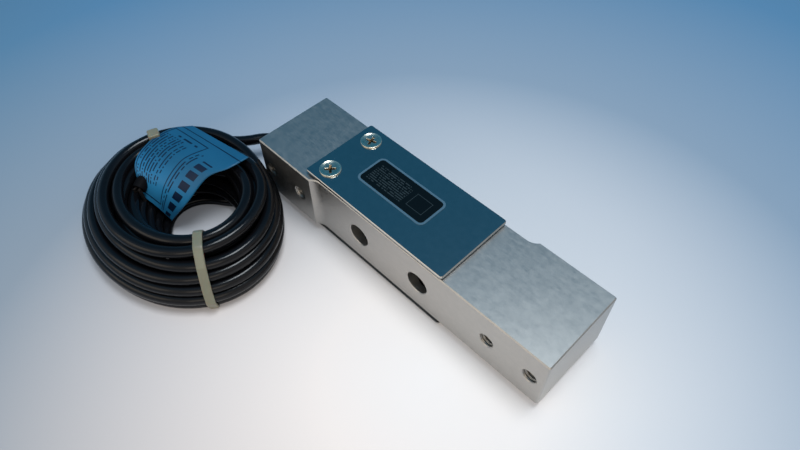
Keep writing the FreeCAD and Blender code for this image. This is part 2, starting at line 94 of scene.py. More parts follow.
# strip of tag: one end and the other end of lines across it, in millimetres
TAG_LINES = [((-103.8, -34.0, 29.7), (-71.0, -28.3, 29.7)), ((-108.8, -42.2, 29.9), (-71.5, -37.6, 29.9)),
             ((-107.2, -53.8, 30.6), (-76.2, -46.0, 27.0)), ((-102.0, -63.6, 28.4), (-79.3, -56.5, 17.4)),
             ((-95.2, -67.2, 16.5), (-85.6, -63.6, 6.4))]
# cut end of the jacket, in millimetres, the way it points, and how far back from it the route's last
# two points stand
END_AT = (-96.2, -67.6, 21.6)
END_WAY = (0.45, -0.85, -0.25)
END_STEPS = (14.5, 9.0)
# each strap: the angle it points at in degrees, the point it points away from and how near to that it
# reaches, in millimetres; then the rear strap's head, its middle and size
FRONT_STRAP = (-34.0, (-74.1, -51.5), 6.0)
REAR_STRAP = (160.0, (-85.2, -58.2), 18.0)
HEAD_AT = (-110.1, -49.1, 30.0)
HEAD_SIZE = (5.0, 4.8, 4.0)
# camera: its place in metres, and in degrees its turn about the upright, its height over level, its roll
CAMERA_AT = (0.10480, -0.11190, 0.21760)
CAMERA_TURN = (45.93, 51.83, -0.88)
# each lamp: name, place and size in metres, power in watts, colour
LAMPS = [("top_lamp", (0.14, 0.12, 1.25), (0.5, 0.4), 9.0, (0.90, 0.96, 1.0)),
         ("front_lamp", (-0.5, -1.5, 0.85), (1.4, 0.7), 3.6, (1.0, 0.87, 0.70)),
         ("side_lamp", (1.1, -1.1, 0.8), (1.2, 0.7), 3.6, (1.0, 0.88, 0.74))]
# floor colours by the distance from PALE_AT as a share of PALE_REACH, both in metres, white near it and blue
# further out: a painted pool of light; and colours of the surround by how far a way turns towards SKY_WAY,
# from 0 for away from it to 1
PALE_AT = (0.040, -0.035, 0.0)
PALE_REACH = 0.5
FLOOR_COLOURS = [(0.0, (0.98, 0.95, 0.94)), (0.08, (0.95, 0.90, 0.88)), (0.35, (0.285, 0.37, 0.47)),
                 (0.62, (0.11, 0.25, 0.41)), (1.0, (0.065, 0.18, 0.31))]
SKY_WAY = (-0.50, 0.46, 0.73)
SKY_COLOURS = [(0.0, (0.82, 0.76, 0.68)), (0.50, (0.70, 0.68, 0.64)), (0.80, (0.24, 0.45, 0.65)),
               (0.93, (0.03, 0.21, 0.38)), (1.0, (0.025, 0.17, 0.32))]


# ---- sizes and colours that a user may change ------------------------------------------------------
def length_prop(name, text, value):
    """A length property in metres."""
    return bpy.props.FloatProperty(name=name, description=text, default=value, unit="LENGTH", precision=5)


def angle_prop(name, text, degrees):
    """An angle property."""
    return bpy.props.FloatProperty(name=name, description=text, default=math.radians(degrees),
                                   subtype="ANGLE")


def share_prop(name, text, value):
    """A share of one."""
    return bpy.props.FloatProperty(name=name, description=text, default=value, min=0.0, max=1.0,
                                   subtype="FACTOR")


def colour_prop(name, text, value):
    """A colour property."""
    return bpy.props.FloatVectorProperty(name=name, description=text, default=value, size=3,
                                         subtype="COLOR", min=0.0, max=1.0)


class CableSettings(bpy.types.PropertyGroup):
    """Cable, ties and tag."""
    diameter: length_prop("Cable diameter", "Outer diameter of the jacket", 0.0048)
    points: bpy.props.IntProperty(name="Points per turn", description="Control points in a turn of the coil",
                                  default=18, min=12, max=40)
    first_angle: angle_prop("First angle", "Where the first turn begins", 152)
    last_angle: angle_prop("Last angle", "Where the last turn ends", 162)
    cross_from: angle_prop("Cross from", "Where each turn starts to cross to the next", 48)
    cross_over: angle_prop("Cross over", "Angle that a crossing takes", 74)
    tie_width: length_prop("Tie width", "Width of a cable tie's strap", 0.0037)
    tie_thickness: length_prop("Tie thickness", "Thickness of a cable tie's strap", 0.0011)
    tag_thickness: length_prop("Tag thickness", "Thickness of the tag's film", 0.00025)


class HoleSettings(bpy.types.PropertyGroup):
    """Mounting holes and their threads."""
    radius: length_prop("Hole radius", "Radius of a mounting hole", 0.003)
    outer_place: length_prop("Outer place", "Distance of the outer hole from the bar's middle", 0.069)
    inner_place: length_prop("Inner place", "Distance of the inner hole from the bar's middle", 0.050)
    pad_rise: length_prop("Pad rise", "How far a mounting pad stands out from the bar's side", 0.0022)
    mouth: length_prop("Mouth", "Length of the plain mouth before the thread", 0.0004)
    pitch: length_prop("Thread pitch", "Pitch of the thread", 0.001)
    depth: length_prop("Thread depth", "Depth of the thread's groove", 0.00055)
    reach: length_prop("Thread reach", "How deep the modelled thread goes from each mouth", 0.011)


class ScrewSettings(bpy.types.PropertyGroup):
    """Cover screws."""
    head_radius: length_prop("Head radius", "Radius of the head", 0.0045)
    head_height: length_prop("Head height", "Height of the head's crest over the cover", 0.00065)
    dish_height: length_prop("Dish height", "Height of the dish over the cover", 0.00022)
    crest_place: share_prop("Crest place", "Crest's share of the head's radius", 0.93)
    cross_depth: length_prop("Recess depth", "Depth of the cross recess below the dish", 0.0008)
    cross_length: length_prop("Recess length", "Length of the cross recess", 0.0048)
    cross_width: length_prop("Recess width", "Width of an arm of the recess", 0.001)
    shank_radius: length_prop("Shank radius", "Radius of the shank", 0.00195)
    shank_length: length_prop("Shank length", "Length of the shank under the head", 0.01)


class FinishSettings(bpy.types.PropertyGroup):
    """Colours of the finishes."""
    bar: colour_prop("Bar", "Machined aluminium", (0.45, 0.43, 0.405))
    cover: colour_prop("Cover", "Rolled cover sheet", (0.39, 0.385, 0.375))
    jacket: colour_prop("Cable jacket", "Black jacket", (0.004, 0.004, 0.005))
    nylon: colour_prop("Tie", "Natural nylon", (0.21, 0.20, 0.14))
    tag: colour_prop("Tag", "Printed film", (0.012, 0.10, 0.20))
    ink: colour_prop("Ink", "Dark print on the tag", (0.003, 0.014, 0.04))


class StageSettings(bpy.types.PropertyGroup):
    """Floor, surround and camera."""
    lens: bpy.props.FloatProperty(name="Lens", description="Focal length in millimetres", default=28.47)
    floor_size: length_prop("Floor size", "Side of the floor", 6.0)
    sky: share_prop("Surround", "Strength of the surround's light", 0.85)


def settings(kind):
    """The scene's settings of one kind."""
    return getattr(bpy.context.scene, "cell_" + kind)


# ---- mesh helpers ----------------------------------------------------------------------------------
def link(obj):
    """Puts an object into the scene and lets it ride on the part's body."""
    bpy.context.scene.collection.objects.link(obj)
    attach(obj, "root")
    return obj


def mesh_piece(name, verts, faces, material, smooth=True, uv=None):
    """A mesh piece from arrays of corners and faces; uv holds one pair for each corner."""
    mesh = bpy.data.meshes.new(name)
    mesh.from_pydata(np.asarray(verts).tolist(), [], faces if isinstance(faces, list) else faces.tolist())
    mesh.update()
    mesh.polygons.foreach_set("use_smooth", [smooth] * len(mesh.polygons))
    if uv is not None:
        layer = mesh.uv_layers.new(name="UVMap")
        loops = np.empty(len(mesh.loops), np.int32)
        mesh.loops.foreach_get("vertex_index", loops)
        layer.data.foreach_set("uv", np.asarray(uv, float)[loops].ravel())
    mesh.materials.append(material)
    return link(bpy.data.objects.new(name, mesh))


def grid_faces(rows, cols, close_rows=False, close_cols=False):
    """Quads of a grid of rows x cols corners, optionally joined round in either direction."""
    r = np.arange(rows if close_rows else rows - 1)[:, None]
    c = np.arange(cols if close_cols else cols - 1)[None, :]
    a = r * cols + c
    b = r * cols + (c + 1) % cols
    d = ((r + 1) % rows) * cols + c
    e = ((r + 1) % rows) * cols + (c + 1) % cols
    return np.stack([a, b, e, d], -1).reshape(-1, 4)


def unit(v):
    """Rows scaled to length one."""
    return v / np.maximum(np.linalg.norm(v, axis=-1, keepdims=True), 1e-12)


# ---- shader helpers --------------------------------------------------------------------------------
def new_material(name):
    """An empty node material and its Principled shader."""
    mat = bpy.data.materials.new(name)
    mat.use_nodes = True
    tree = mat.node_tree
    tree.nodes.clear()
    out = tree.nodes.new("ShaderNodeOutputMaterial")
    bsdf = tree.nodes.new("ShaderNodeBsdfPrincipled")
    tree.links.new(bsdf.outputs[0], out.inputs[0])
    return mat, tree, bsdf


def add(tree, kind, links=None, **values):
    """A shader node; links maps input name or index to a socket, values set properties or inputs."""
    node = tree.nodes.new("ShaderNode" + kind)
    for key, value in values.items():
        if hasattr(node, key):
            setattr(node, key, value)
        else:
            node.inputs[key.replace("_", " ")].default_value = value
    for key, socket in (links or {}).items():
        tree.links.new(socket, node.inputs[key])
    return node


def feed(node, **values):
    """Links or sets inputs of a node, their names written with _ for a blank."""
    for key, value in values.items():
        socket = node.inputs[key.replace("_", " ")]
        if hasattr(value, "default_value"):
            node.id_data.links.new(value, socket)
        else:
            socket.default_value = value


def math_node(tree, operation, a, b=None):
    """A Math node of one or two inputs, each a socket or a number."""
    node = tree.nodes.new("ShaderNodeMath")
    node.operation = operation
    for i, v in enumerate((a, b)):
        if hasattr(v, "default_value"):
            tree.links.new(v, node.inputs[i])
        elif v is not None:
            node.inputs[i].default_value = v
    return node.outputs[0]


def times(tree, a, b):
    """Product of two sockets or numbers."""
    return math_node(tree, "MULTIPLY", a, b)


def plus(tree, a, b):
    """Sum of two sockets or numbers."""
    return math_node(tree, "ADD", a, b)


def ramp(tree, factor, stops):
    """A colour ramp with (place, colour) stops."""
    node = tree.nodes.new("ShaderNodeValToRGB")
    tree.links.new(factor, node.inputs[0])
    elements = node.color_ramp.elements
    while len(elements) > 1:
        elements.remove(elements[-1])
    for i, (place, colour) in enumerate(stops):
        element = elements[0] if i == 0 else elements.new(place)
        element.position = place
        element.color = (*colour, 1.0)
    return node.outputs[0]


def group_sockets(name, ins, outs):
    """A new shader group with its named sockets; ins are (name, kind, default)."""
    group = bpy.data.node_groups.new(name, "ShaderNodeTree")
    for label, kind, default in ins:
        socket = group.interface.new_socket(name=label, in_out="INPUT", socket_type=kind)
        if default is not None:
            socket.default_value = default
    for label, kind in outs:
        group.interface.new_socket(name=label, in_out="OUTPUT", socket_type=kind)
    return group, group.nodes.new("NodeGroupInput"), group.nodes.new("NodeGroupOutput")


def build_groups():
    """Shared effects: milled grain and cloudy tone."""
    if "milled grain" in bpy.data.node_groups:
        return
    f, v = "NodeSocketFloat", "NodeSocketVector"
    # fine lines drawn out along one axis: noise squeezed across the lines
    g, i, o = group_sockets("milled grain", [("Vector", v, None), ("Length", f, 60.0),
                                             ("Fineness", f, 3000.0)], [("Height", f)])
    scale = add(g, "CombineXYZ", {0: i.outputs["Length"], 1: i.outputs["Fineness"],
                                            2: i.outputs["Fineness"]})
    stretch = add(g, "VectorMath", {0: i.outputs["Vector"], 1: scale.outputs[0]},
                  operation="MULTIPLY")
    fine = add(g, "TexNoise", {"Vector": stretch.outputs[0]}, Scale=1.0, Detail=3.0, Roughness=0.6)
    g.links.new(fine.outputs[0], o.inputs["Height"])
    # soft clouds at two sizes, for tarnish and handling marks
    g, i, o = group_sockets("cloudy tone", [("Vector", v, None), ("Scale", f, 60.0), ("Contrast", f, 1.0)],
                            [("Tone", f)])
    big = add(g, "TexNoise", {"Vector": i.outputs["Vector"], "Scale": i.outputs["Scale"]},
              Detail=4.0, Roughness=0.55)
    small = add(g, "TexNoise", {"Vector": i.outputs["Vector"],
                                          "Scale": times(g, i.outputs["Scale"], 4.3)},
                Detail=3.0, Roughness=0.6)
    mixed = plus(g, times(g, big.outputs[0], 0.7), times(g, small.outputs[0], 0.3))
    swing = times(g, math_node(g, "SUBTRACT", mixed, 0.5), i.outputs["Contrast"])
    g.links.new(plus(g, swing, 0.5), o.inputs["Tone"])


def use_group(tree, name, vector, **values):
    """One of the shared groups, placed in a material."""
    node = tree.nodes.new("ShaderNodeGroup")
    node.node_tree = bpy.data.node_groups[name]
    tree.links.new(vector, node.inputs["Vector"])
    for key, value in values.items():
        node.inputs[key].default_value = value
    return node


def mix_colour(tree, factor, a, b):
    """A colour between a and b by a socket's factor; a and b are each a socket or a colour."""
    node = add(tree, "Mix", {0: factor}, data_type="RGBA")
    for index, value in ((6, a), (7, b)):
        if hasattr(value, "default_value"):
            tree.links.new(value, node.inputs[index])
        else:
            node.inputs[index].default_value = (*value, 1.0)
    return node.outputs[2]


def tinted(tree, factor, colour, tint):
    """A colour multiplied by a tint, by a factor."""
    node = add(tree, "Mix", {0: factor, 6: colour}, data_type="RGBA", blend_type="MULTIPLY")
    node.inputs[7].default_value = (*tint, 1.0)
    return node.outputs[2]


def coords(tree, uv=False):
    """Object or UV coordinates."""
    return add(tree, "TexCoord").outputs["UV" if uv else "Object"]


def bump(tree, bsdf, height, strength, distance):
    """Relief on a material, its full height the distance in metres."""
    node = add(tree, "Bump", {"Height": height}, Strength=strength, Distance=distance)
    tree.links.new(node.outputs[0], bsdf.inputs["Normal"])


def scaled(colour, k):
    """A colour times a number."""
    return tuple(min(1.0, x * k) for x in colour)


# ---- materials -------------------------------------------------------------------------------------
def metal_material(name, colour, rough, grain=0.5, contrast=1.0, metallic=1.0, relief=0.1):
    """Metal with faint milled lines and clouds of slightly different tone and roughness. The lines and
    clouds swing the roughness about its middle value, the lines by the share grain."""
    mat, tree, bsdf = new_material(name)
    at = coords(tree)
    lines = use_group(tree, "milled grain", at, Length=312.0, Fineness=2600.0)
    cloud = use_group(tree, "cloudy tone", at, Scale=420.0, Contrast=contrast)
    tone, height = cloud.outputs["Tone"], lines.outputs["Height"]
    swing = plus(tree, times(tree, tone, 0.35), times(tree, height, grain))
    feed(bsdf, Base_Color=mix_colour(tree, tone, scaled(colour, 0.86), scaled(colour, 1.10)),
         Roughness=times(tree, plus(tree, swing, 0.83 - grain / 2), rough), Metallic=metallic)
    bump(tree, bsdf, height, relief, 0.01 * MM)
    return mat


def plastic_material(name, colour, rough, variation=0.25, scale=300.0, relief=0.1, subsurface=0.0,
                     specular=0.5):
    """Moulded or extruded plastic with a fine skin. Its tone varies by a share of the colour."""
    mat, tree, bsdf = new_material(name)
    at = coords(tree)
    tone = use_group(tree, "cloudy tone", at, Scale=scale * 0.4, Contrast=1.2).outputs["Tone"]
    dark, pale = scaled(colour, 1 - variation), scaled(colour, 1 + variation)
    feed(bsdf, Base_Color=mix_colour(tree, tone, dark, pale),
         Roughness=plus(tree, times(tree, tone, rough * 0.4), rough * 0.8), Specular_IOR_Level=specular,
         Subsurface_Weight=subsurface, Subsurface_Scale=2 * MM)
    fine = add(tree, "TexNoise", {"Vector": at}, Scale=scale * 6, Detail=2.0)
    bump(tree, bsdf, fine.outputs[0], relief, 0.02 * MM)
    return mat


def paint(node, material):
    """Gives a CAD node its material."""
    mesh = NODES[node].data
    mesh.materials.clear()
    mesh.materials.append(material)


class CELL_OT_finishes(bpy.types.Operator):
    """Give every piece of the packed model its finish"""
    bl_idname = "cell.finishes"
    bl_label = "Finishes"

    def execute(self, context):
        s = settings("finish")
        build_groups()
        bar = metal_material("machined aluminium", s.bar, 0.40, contrast=1.1)
        cover = metal_material("rolled cover sheet", s.cover, 0.17, grain=0.3, contrast=0.8, relief=0.03)
        rubber = plastic_material("sealing rubber", (0.012, 0.012, 0.013), 0.55)
        jacket = plastic_material("black jacket", s.jacket, 0.18, 0.2, 500.0, 0.12, specular=0.26)
        sleeve = plastic_material("cut sleeve", s.jacket, 0.6, 0.2, 500.0, specular=0.05)
        nylon = plastic_material("natural nylon", s.nylon, 0.34, 0.08, 200.0, 0.15, subsurface=0.2)
        silicone = plastic_material("clear silicone", (0.55, 0.55, 0.5), 0.2, 0.1, subsurface=0.3)
        foil = metal_material("gauge foil", (0.55, 0.36, 0.16), 0.2, metallic=0.6)
        board = plastic_material("green board", (0.02, 0.12, 0.04), 0.3, 0.2)
        chip = plastic_material("chip body", (0.02, 0.02, 0.022), 0.4, 0.2)
        copper = metal_material("enamelled copper", (0.5, 0.22, 0.09), 0.2)
        insulation = plastic_material("core insulation", (0.014, 0.011, 0.010), 0.5, 0.12, specular=0.06)
        for names, material in (
                (("beam_body",), bar), (("upper_cover", "lower_cover"), cover),
                (("cover_screws",), screw_material()),
                (("upper_gasket", "lower_gasket", "cable_grommet", "board_sealant"), rubber),
                (("cable_lead", "cable_coil", "cable_inner"), jacket), (("cable_end_sleeve",), sleeve),
                (("front_tie", "rear_tie"), nylon), (("gauge_coatings", "board_adhesive"), silicone),
                (("strain_gauges",), foil), (("bridge_board",), board), (("trim_resistors",), chip),
                (("gauge_leads",), copper), (("cable_cores", "cable_end_cores"), insulation),
                (("rating_label",), label_material()), (("tag",), tag_material(s))):
            for node in names:
                paint(node, material)
        return {"FINISHED"}


def screw_material():
    """Nickel plate, brown in the recess, which the second coordinate of the screws' map marks."""
    mat, tree, bsdf = new_material("nickel plate")
    marks = add(tree, "SeparateXYZ", {0: coords(tree, uv=True)})
    tone = use_group(tree, "cloudy tone", coords(tree), Scale=700.0, Contrast=1.4).outputs["Tone"]
    plate = mix_colour(tree, tone, (0.50, 0.46, 0.36), (0.78, 0.74, 0.62))
    feed(bsdf, Base_Color=mix_colour(tree, marks.outputs[1], plate, (0.10, 0.055, 0.025)),
         Roughness=plus(tree, times(tree, tone, 0.14), 0.17), Metallic=1.0)
    return mat


def between(tree, value, low, high):
    """1 where a value lies between two numbers."""
    return times(tree, math_node(tree, "GREATER_THAN", value, low),
                 math_node(tree, "LESS_THAN", value, high))


def field(tree, u, v, box):
    """1 inside a box of low and high u, low and high v."""
    return times(tree, between(tree, u, box[0], box[1]), between(tree, v, box[2], box[3]))


def outline(tree, u, v, box, line_u, line_v):
    """1 on the outline of a box, its line so wide across u and across v."""
    inner = (box[0] + line_u, box[1] - line_u, box[2] + line_v, box[3] - line_v)
    return math_node(tree, "SUBTRACT", field(tree, u, v, box), field(tree, u, v, inner))


def dash_rows(tree, across, along, box, count, thick, dashes, fill, seed=None):
    """Rows of dashes in a box of low and high across, low and high along: plain bars for print. The rows
    fill a share, thick, of their spacing, and a row has so many dashes in a unit along it. With a seed
    each dash is there or not by its own noise, cut at fill, and without one the dashes are even and fill
    that share of their spacing."""
    place = times(tree, math_node(tree, "SUBTRACT", across, box[0]), count / (box[1] - box[0]))
    row = math_node(tree, "FLOOR", place)
    on_row = math_node(tree, "LESS_THAN", math_node(tree, "FRACT", place), thick)
    step = times(tree, along, dashes)
    if seed is None:
        dash = math_node(tree, "LESS_THAN", math_node(tree, "FRACT", step), fill)
    else:
        at = add(tree, "CombineXYZ", {0: math_node(tree, "FLOOR", step), 1: row})
        at.inputs[2].default_value = seed
        noise = add(tree, "TexWhiteNoise", {0: at.outputs[0]}, noise_dimensions="3D")
        dash = math_node(tree, "LESS_THAN", noise.outputs[0], fill)
    return times(tree, field(tree, across, along, box), times(tree, on_row, dash))


def label_material():
    """Printed film: a black field with rounded corners inside a thin pale edge, with plain bars and an
    empty square. Places on it are in millimetres from the label's middle."""
    mat, tree, bsdf = new_material("label film")
    low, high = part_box("rating_label")
    at = add(tree, "SeparateXYZ", {0: coords(tree)})
    edge, radius = 0.0009, 0.0018
    past, offset = [], []
    for axis in (0, 1):
        middle, half = (low[axis] + high[axis]) / 2, (high[axis] - low[axis]) / 2 - edge - radius
        from_middle = math_node(tree, "SUBTRACT", at.outputs[axis], middle)
        offset.append(times(tree, from_middle, 1 / MM))
        away = math_node(tree, "ABSOLUTE", from_middle)
        past.append(math_node(tree, "MAXIMUM", math_node(tree, "SUBTRACT", away, half), 0.0))
    squares = plus(tree, times(tree, past[0], past[0]), times(tree, past[1], past[1]))
    far = math_node(tree, "SQRT", squares)
    pale = math_node(tree, "GREATER_THAN", far, radius)
    tone = use_group(tree, "cloudy tone", coords(tree), Scale=150.0, Contrast=1.0).outputs["Tone"]
    black = mix_colour(tree, tone, (0.0015, 0.003, 0.0035), (0.003, 0.005, 0.006))
    x, y = offset
    bars = dash_rows(tree, y, x, (-4.6, 4.8, -15.0, 3.5), 9, 0.42, 2.2, 0.72, seed=1.0)
    square = outline(tree, x, y, (6.0, 14.0, -3.6, 3.4), 0.22, 0.22)
    printed = mix_colour(tree, plus(tree, bars, square), black, (0.028, 0.040, 0.045))
    feed(bsdf, Base_Color=mix_colour(tree, pale, printed, (0.075, 0.145, 0.20)), Roughness=0.24,
         Specular_IOR_Level=0.22)
    return mat


def tag_material(s):
    """Blue printed film, painted paler towards its lower end as painted light: a rule, a frame with rows of
    bars, and rows of larger bars beside it. Boxes are in the tag's own u and v."""
    mat, tree, bsdf = new_material("printed tag film")
    tone = use_group(tree, "cloudy tone", coords(tree), Scale=70.0, Contrast=1.2).outputs["Tone"]
    base = mix_colour(tree, tone, scaled(s.tag, 0.85), scaled(s.tag, 1.15))
    at = add(tree, "SeparateXYZ", {0: coords(tree, uv=True)})
    u, v = at.outputs[0], at.outputs[1]
    # painted light: the blue turns paler towards the tag's lower end, standing in for the light it catches
    # there
    painted_light_share = add(tree, "MapRange", {"Value": v}, interpolation_type="SMOOTHSTEP", From_Min=0.5,
                 From_Max=0.85, To_Max=0.9)
    base = mix_colour(tree, painted_light_share.outputs[0], base, scaled(s.tag, 2.1))
    rule = between(tree, v, 0.115, 0.128)
    frame_line = outline(tree, u, v, (0.02, 0.585, 0.19, 0.93), 0.014, 0.012)
    # the frame, its heading row, small print and two larger rows, then the rows and bars beside it
    marks = [frame_line, dash_rows(tree, v, u, (0.25, 0.272, 0.10, 0.56), 1, 1.0, 22.0, 0.5, seed=3.0),
             dash_rows(tree, u, v, (0.05, 0.36, 0.30, 0.86), 7, 0.45, 70.0, 0.75, seed=5.0),
             dash_rows(tree, u, v, (0.38, 0.47, 0.34, 0.80), 2, 0.4, 60.0, 0.7, seed=9.0),
             dash_rows(tree, u, v, (0.62, 0.70, 0.30, 0.97), 2, 0.45, 46.0, 0.72, seed=7.0),
             dash_rows(tree, u, v, (0.76, 0.90, 0.36, 0.985), 1, 1.0, 9.6, 0.66)]
    total = rule
    for mark in marks:
        total = math_node(tree, "MAXIMUM", total, mark)
    feed(bsdf, Base_Color=mix_colour(tree, total, base, s.ink), Roughness=0.36, Specular_IOR_Level=0.22)
    return mat


# ---- cable -----------------------------------------------------------------------------------------
def coil_route(s):
    """Control points of the coil, in millimetres. A point of a turn stands on an oval: its middle plus
    the half length times the cosine and the half width times the sine of the angle, and its height goes
    with the cosine from the right to the left. From cross_from on, each turn eases into the next one over
    cross_over. The ovals are a little larger than the turns, since the curve cuts their corners, and two
    slow sines make them drift by a fraction of a millimetre."""
    turns = np.array(TURNS)
    lowest = 2.5
    angle = np.arange(s.first_angle, TAU * (len(TURNS) - 1) + s.last_angle, TAU / s.points)
    u = (angle - s.cross_from) / TAU
    index = np.clip(np.floor(u).astype(int), 0, len(turns) - 1)
    part = np.clip((u - index) * TAU / s.cross_over, 0, 1)
    ease = (part * part * (3 - 2 * part))[:, None]
    before = turns[np.maximum(index - 1, 0)]
    left, right, front, rear, z_left, z_right = (before + (turns[index] - before) * ease).T
    swell = 4 / (3 + math.cos(TAU / s.points))
    drift = 0.2 * np.sin(angle * 0.37 + 1.0) + 0.16 * np.sin(angle * 1.31 + index)
    x = (left + right) / 2 + ((right - left) / 2 + drift) * swell * np.cos(angle)
    y = (front + rear) / 2 + ((rear - front) / 2 + drift) * swell * np.sin(angle)
    z = (z_left + z_right) / 2 + (z_right - z_left) / 2 * np.cos(angle)
    return np.stack([x, y, np.maximum(z, lowest)], 1)


def nurbs_curve(points, radius):
    """A smooth open curve with round section; its control points are given in millimetres."""
    data = bpy.data.curves.new("route", "CURVE")
    data.dimensions = "3D"
    spline = data.splines.new("NURBS")
    spline.points.add(len(points) - 1)
    spline.points.foreach_set("co", np.c_[np.asarray(points) * MM, np.ones(len(points))].ravel())
    spline.order_u = 3
    spline.use_endpoint_u = True
    data.resolution_u = data.render_resolution_u = 5
    data.bevel_depth = radius
    data.bevel_resolution = 5
    data.use_fill_caps = True
    return bpy.data.objects.new("route", data)


def line_of(obj):
    """Points along a curve's own line, in metres."""
    depth = obj.data.bevel_depth
    obj.data.bevel_depth = 0.0
    mesh = bpy.data.meshes.new_from_object(obj)
    obj.data.bevel_depth = depth
    out = np.empty(len(mesh.vertices) * 3)
    mesh.vertices.foreach_get("co", out)
    bpy.data.meshes.remove(mesh)
    return out.reshape(-1, 3)


def cable_line():
    """Points down the middle of the cable, in metres."""
    return np.array(bpy.context.scene["cell_cable_line"]).reshape(-1, 3)


class CELL_OT_cable(bpy.types.Operator):
    """Lay the cable: free stretch, turns of the coil and cut end"""
    bl_idname = "cell.cable"
    bl_label = "Cable"

    def execute(self, context):
        s = settings("cable")
        end = np.array(END_AT) - unit(np.array(END_WAY)) * np.array(END_STEPS)[:, None]
        curve = nurbs_curve(np.concatenate([np.array(LEAD_ROUTE), coil_route(s), end]), s.diameter / 2)
        mesh = bpy.data.meshes.new_from_object(curve)
        mesh.polygons.foreach_set("use_smooth", [True] * len(mesh.polygons))
        mesh.materials.append(bpy.data.materials["black jacket"])
        cable = link(bpy.data.objects.new("cable", mesh))
        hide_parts("cable_lead", "cable_coil")
        context.scene["cell_cable_line"] = line_of(curve).ravel().tolist()
        bpy.data.objects.remove(curve)
        return {"FINISHED"}


# ---- ties ------------------------------------------------------------------------------------------
def section_points(line, angle, middle):
    """Where the cable's line crosses the upright half plane at an angle: distance out and height."""
    out = np.array((math.cos(angle), math.sin(angle)))
    side = np.array((-out[1], out[0]))
    rel = line[:, :2] - middle
    across, along = rel @ side, rel @ out
    hit = (across[:-1] * across[1:] <= 0) & (along[:-1] > 0)
    t = (across[:-1] / (across[:-1] - across[1:] + 1e-15))[hit]
    return np.stack([along[:-1][hit] * (1 - t) + along[1:][hit] * t,
                     line[:-1, 2][hit] * (1 - t) + line[1:, 2][hit] * t], 1)


def hull(points):
    """Convex hull of plane points, anticlockwise: the lower and the upper chain of the points in order
    of x, each dropping the points where it would turn clockwise."""
    pts = points[np.lexsort((points[:, 1], points[:, 0]))]

    def half(seq):
        """One chain, without its last point."""
        chain = []
        for q in seq:
            while len(chain) > 1 and np.cross(chain[-1] - chain[-2], q - chain[-2]) <= 0:
                chain.pop()
            chain.append(q)
        return chain[:-1]

    return np.array(half(pts) + half(pts[::-1]))


def loop_round(points, radius, gap):
    """A closed loop at a gap outside circles at the points: the hull of their rims, evenly walked."""
    count = 160
    t = np.linspace(0, TAU, 40, endpoint=False)
    rims = (points[:, None, :] + (radius + gap) * np.stack([np.cos(t), np.sin(t)], 1)).reshape(-1, 2)
    ring = hull(rims)
    ring = np.vstack([ring, ring[:1]])
    step = np.r_[0, np.cumsum(np.linalg.norm(np.diff(ring, axis=0), axis=1))]
    at = np.linspace(0, step[-1], count, endpoint=False)
    return np.stack([np.interp(at, step, ring[:, k]) for k in (0, 1)], 1)


def signed_power(v, power):
    """A number raised to a power with its sign kept."""
    return np.sign(v) * np.abs(v) ** power


def strap_piece(name, line, place, s, material):
    """A strap drawn round the coil: its closed loop carried across its width. Its section is half the
    width times the cosine and half the thickness times the sine of an angle, each raised to a power
    below one. Its place is the angle it points at, the middle it points from and how near it reaches."""
    angle, middle, nearest = math.radians(place[0]), np.array(place[1]) * MM, place[2] * MM
    floor_gap, power = 0.2 * MM, 0.45
    pts = section_points(line, angle, middle)
    pts = pts[pts[:, 0] > nearest]
    w, t = s.tie_width / 2, s.tie_thickness / 2
    loop = loop_round(pts, s.diameter / 2, t)
    loop[:, 1] = np.maximum(loop[:, 1], t + floor_gap)
    tangent = unit(np.roll(loop, -1, 0) - np.roll(loop, 1, 0))
    normal = np.stack([tangent[:, 1], -tangent[:, 0]], 1)
    a = np.linspace(0, TAU, 16, endpoint=False)
    profile = np.stack([w * signed_power(np.cos(a), power), t * signed_power(np.sin(a), power)], 1)
    out = np.array((math.cos(angle), math.sin(angle), 0))
    side = np.array((-out[1], out[0], 0))
    flat = loop[:, None, :] + profile[None, :, 1:2] * normal[:, None, :]
    verts = (np.append(middle, 0) + flat[..., :1] * out + flat[..., 1:] * (0, 0, 1)
             + profile[None, :, :1] * side)
    faces = grid_faces(len(loop), len(profile), True, True)
    return mesh_piece(name, verts.reshape(-1, 3), faces, material)


def rounded_block(name, centre, turn, size, material):
    """A block with rounded edges: along each axis half the size times a sine or cosine of the two
    angles of a sphere, each raised to a small power with its sign kept, then turned about Z."""
    levels, cols, power = 30, 64, 0.28
    lift = np.linspace(-math.pi / 2, math.pi / 2, levels + 2)[1:-1, None]
    way = np.linspace(0, TAU, cols, endpoint=False)[None, :]
    half = np.array(size) / 2
    out = signed_power(np.cos(lift), power)
    ring = np.stack([half[0] * out * signed_power(np.cos(way), power),
                     half[1] * out * signed_power(np.sin(way), power),
                     half[2] * signed_power(np.sin(lift), power) + 0 * way], -1).reshape(-1, 3)
    verts = np.vstack([ring, [(0, 0, -half[2]), (0, 0, half[2])]])
    a = math.radians(turn)
    spin = np.array(((math.cos(a), math.sin(a), 0), (-math.sin(a), math.cos(a), 0), (0, 0, 1)))
    # the rings' faces, then a fan of triangles at the foot and one at the top
    c, foot, last = np.arange(cols), levels * cols, (levels - 1) * cols
    after = (c + 1) % cols
    fans = [np.stack([foot + 0 * c, after, c], 1), np.stack([foot + 1 + 0 * c, last + c, last + after], 1)]
    faces = grid_faces(levels, cols, False, True).tolist() + np.concatenate(fans).tolist()
    return mesh_piece(name, (verts @ spin + np.array(centre)) * MM, faces, material)


